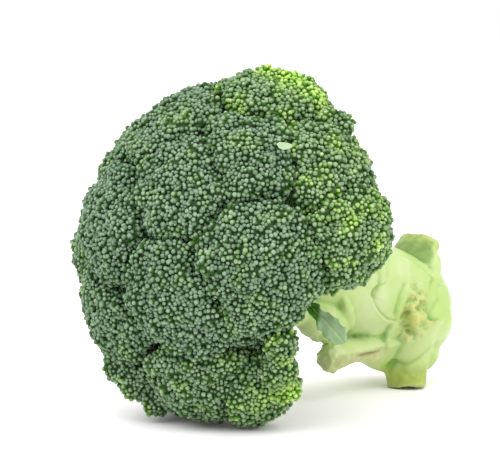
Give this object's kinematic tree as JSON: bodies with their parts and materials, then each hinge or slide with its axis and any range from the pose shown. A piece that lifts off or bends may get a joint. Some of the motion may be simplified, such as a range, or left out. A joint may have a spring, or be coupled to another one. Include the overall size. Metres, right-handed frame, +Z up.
{
  "type": "broccoli head",
  "caption": "Picked broccoli head lying on its side: domed crown of green flower buds on pale branches and a thick trimmed stalk.",
  "frame": {"origin": "on the surface that the head lies on, under the middle of its bounding box", "axes": "+Z up, +Y along the head from the crown to the cut end of the stalk, +X to the side of the leaf"},
  "size_m": [0.145, 0.1986, 0.1454],
  "materials": {
    "buds": "matt waxy blue-green flower buds with darker gaps and fresher green sides",
    "stalk_skin": "smooth pale green skin with a soft wet sheen, creamier at the cuts",
    "leaf": "waxy leaf, fresh green at its base and grey-green with a pale midrib further out",
    "leaf_scrap": "matt pale grey-green leaf scrap"
  },
  "bodies": {
    "root": {"stalk": "stalk_skin", "floret_crown_top": "buds", "branch_crown_top": "stalk_skin", "floret_crown_left": "buds", "branch_crown_left": "stalk_skin", "floret_crown_low": "buds", "branch_crown_low": "stalk_skin", "floret_front_right": "buds", "branch_front_right": "stalk_skin", "floret_upper_mid": "buds", "branch_upper_mid": "stalk_skin", "floret_upper_left": "buds", "branch_upper_left": "stalk_skin", "floret_right_shoulder": "buds", "branch_right_shoulder": "stalk_skin", "floret_right_rim": "buds", "branch_right_rim": "stalk_skin", "floret_top_rim": "buds", "branch_top_rim": "stalk_skin", "floret_top_back": "buds", "branch_top_back": "stalk_skin", "floret_left_upper_rim": "buds", "branch_left_upper_rim": "stalk_skin", "floret_left_rim": "buds", "branch_left_rim": "stalk_skin", "floret_left_lower_rim": "buds", "branch_left_lower_rim": "stalk_skin", "floret_bottom_left": "buds", "branch_bottom_left": "stalk_skin", "floret_bottom_mid": "buds", "branch_bottom_mid": "stalk_skin", "floret_bottom_right": "buds", "branch_bottom_right": "stalk_skin", "leaf": "leaf", "leaf_scrap": "leaf_scrap"}
  },
  "joints": []
}
